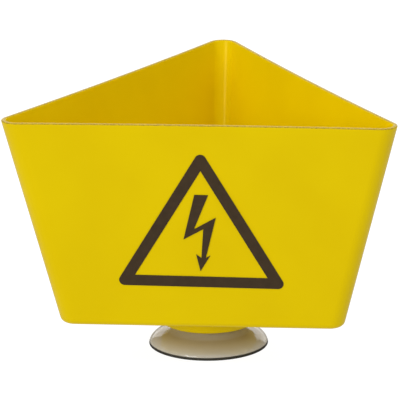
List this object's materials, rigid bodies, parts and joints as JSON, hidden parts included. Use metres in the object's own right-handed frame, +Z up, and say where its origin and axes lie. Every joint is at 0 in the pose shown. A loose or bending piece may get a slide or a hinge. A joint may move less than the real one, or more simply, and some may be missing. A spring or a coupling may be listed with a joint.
{
  "type": "warning sign",
  "caption": "Three-sided yellow plastic warning sign, an open flared tub with rounded corners, standing on a clear suction cup under a round well in its floor.",
  "frame": {"origin": "on the ground, at the middle of the sign's plan box; the axis of the cup stands at y = -0.0298", "axes": "+Z up, +X along the front wall to its right-hand end, -Y out of the front wall"},
  "size_m": [0.2256, 0.1979, 0.1514],
  "materials": {
    "yellow_plastic": "satin moulded plastic with a black print",
    "clear_pvc": "clear soft plastic, glossy",
    "zinc_plated_steel": "bright zinc plating"
  },
  "bodies": {
    "root": {"sign_body": "yellow_plastic", "suction_cup": "clear_pvc", "cup_screw": "zinc_plated_steel", "washer": "zinc_plated_steel", "nut": "zinc_plated_steel"}
  },
  "joints": []
}
